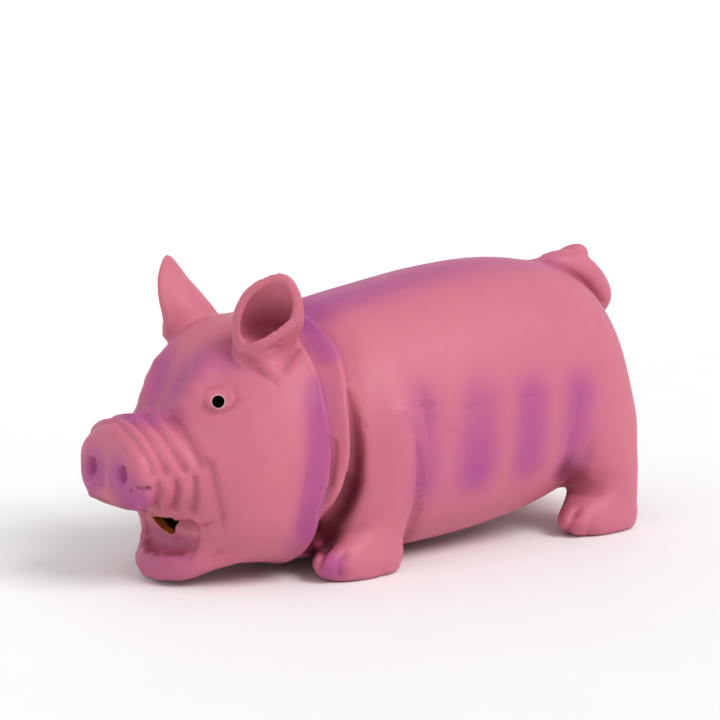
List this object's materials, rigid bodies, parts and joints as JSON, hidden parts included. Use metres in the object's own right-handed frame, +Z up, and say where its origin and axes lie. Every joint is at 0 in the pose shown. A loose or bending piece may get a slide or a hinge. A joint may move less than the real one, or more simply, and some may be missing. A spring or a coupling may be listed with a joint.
{
  "type": "pig squeeze dog toy",
  "caption": "Squeeze-and-grunt dog toy shaped as a standing pig: hollow soft latex skin, fibre stuffing and a reed grunter behind its open mouth.",
  "frame": {"origin": "on the floor that the soles stand on, under the middle of the toy's bounding box", "axes": "+X from the snout towards the tail, +Y towards the pig's right side, +Z up; the snout points to -X"},
  "size_m": [0.2194, 0.0888, 0.1027],
  "materials": {
    "latex": "matte",
    "polyester_fibre": "matte",
    "grunter_grey": "satin",
    "grunter_white": "satin",
    "reed_brass": "satin"
  },
  "bodies": {
    "toy": {"latex_skin": "latex", "belly_plug": "latex", "head_filling": "polyester_fibre", "trunk_filling": "polyester_fibre", "grunter_barrel": "grunter_grey", "grunter_front_cap": "grunter_white", "grunter_rear_cap": "grunter_white", "reed_block": "grunter_white", "reed_clamp": "grunter_grey"},
    "reed": {"reed": "reed_brass"}
  },
  "joints": [
    {"name": "reed_flex", "type": "hinge", "parent": "toy", "child": "reed", "pos_m": [-0.06282, 0, 0.02563], "axis": [0, -1, 0], "range_deg": [-4, 5], "stiffness_Nm_per_rad": 0.05}
  ]
}
